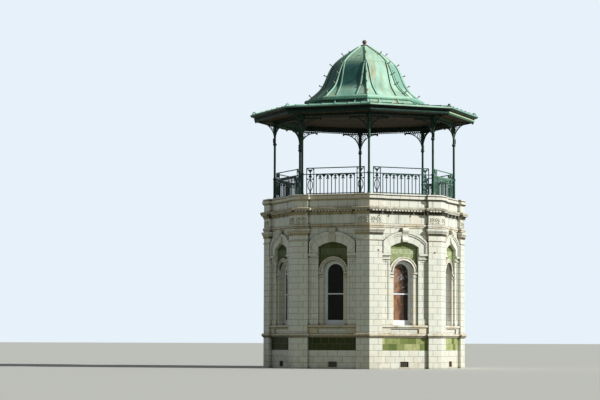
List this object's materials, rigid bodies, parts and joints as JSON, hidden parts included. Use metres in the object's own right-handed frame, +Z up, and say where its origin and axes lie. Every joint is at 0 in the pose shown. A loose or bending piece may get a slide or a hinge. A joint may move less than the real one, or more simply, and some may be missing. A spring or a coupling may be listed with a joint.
{
  "type": "bandstand on an octagonal pavilion",
  "caption": "Octagonal glazed-block pavilion with arched sash windows, carrying an open iron bandstand with railings, scroll brackets and a ribbed copper bell dome.",
  "frame": {"origin": "on the ground at the centre of the octagon", "axes": "+Z up, a corner pier points to -Y and the two sides beside it are the front, +X to their right"},
  "size_m": [9.9252, 9.9252, 14.25],
  "materials": {
    "block": "white glaze on fired blocks, grey joints, weather stains",
    "moulding": "cream glaze with ochre stains under the drips",
    "green_tile": "mottled green glaze",
    "white_paint": "white gloss paint on timber",
    "glass": "dark window glass",
    "iron": "dark green paint, weathered",
    "boards": "brown boards",
    "copper": "green patina on copper sheet, brown streaks",
    "deck": "asphalt and grit",
    "floor": "matt floor slab"
  },
  "bodies": {
    "root": {"ground_floor": "floor", "corner_piers": "block", "wall_front_right": "block", "wall_right": "block", "wall_rear_right": "block", "party_wall_back_right": "block", "party_wall_back_left": "block", "wall_rear_left": "block", "wall_left": "block", "wall_front_left": "block", "string_course": "moulding", "window_sills": "moulding", "apron_tiles": "green_tile", "tympanum_tiles": "green_tile", "window_arches": "block", "window_hoods": "block", "keystones": "moulding", "window_frames": "white_paint", "window_glass": "glass", "air_vents": "iron", "pier_capitals": "moulding", "frieze": "block", "cornice": "moulding", "parapet": "block", "coping": "moulding", "roof_deck": "deck", "columns": "iron", "arch_brackets": "iron", "eave_brackets": "iron", "fret_panels": "iron", "ring_beam": "iron", "ceiling": "boards", "soffit": "iron", "eave_gutter": "copper", "canopy_roof": "copper", "canopy_hips": "copper", "skirt": "copper", "dome_roll": "copper", "dome_shell": "copper", "hip_rolls": "copper", "dome_ribs": "copper", "finial": "copper", "railing_front_right": "iron", "railing_right": "iron", "railing_rear_right": "iron", "railing_rear_left": "iron", "railing_left": "iron", "railing_front_left": "iron"}
  },
  "joints": []
}
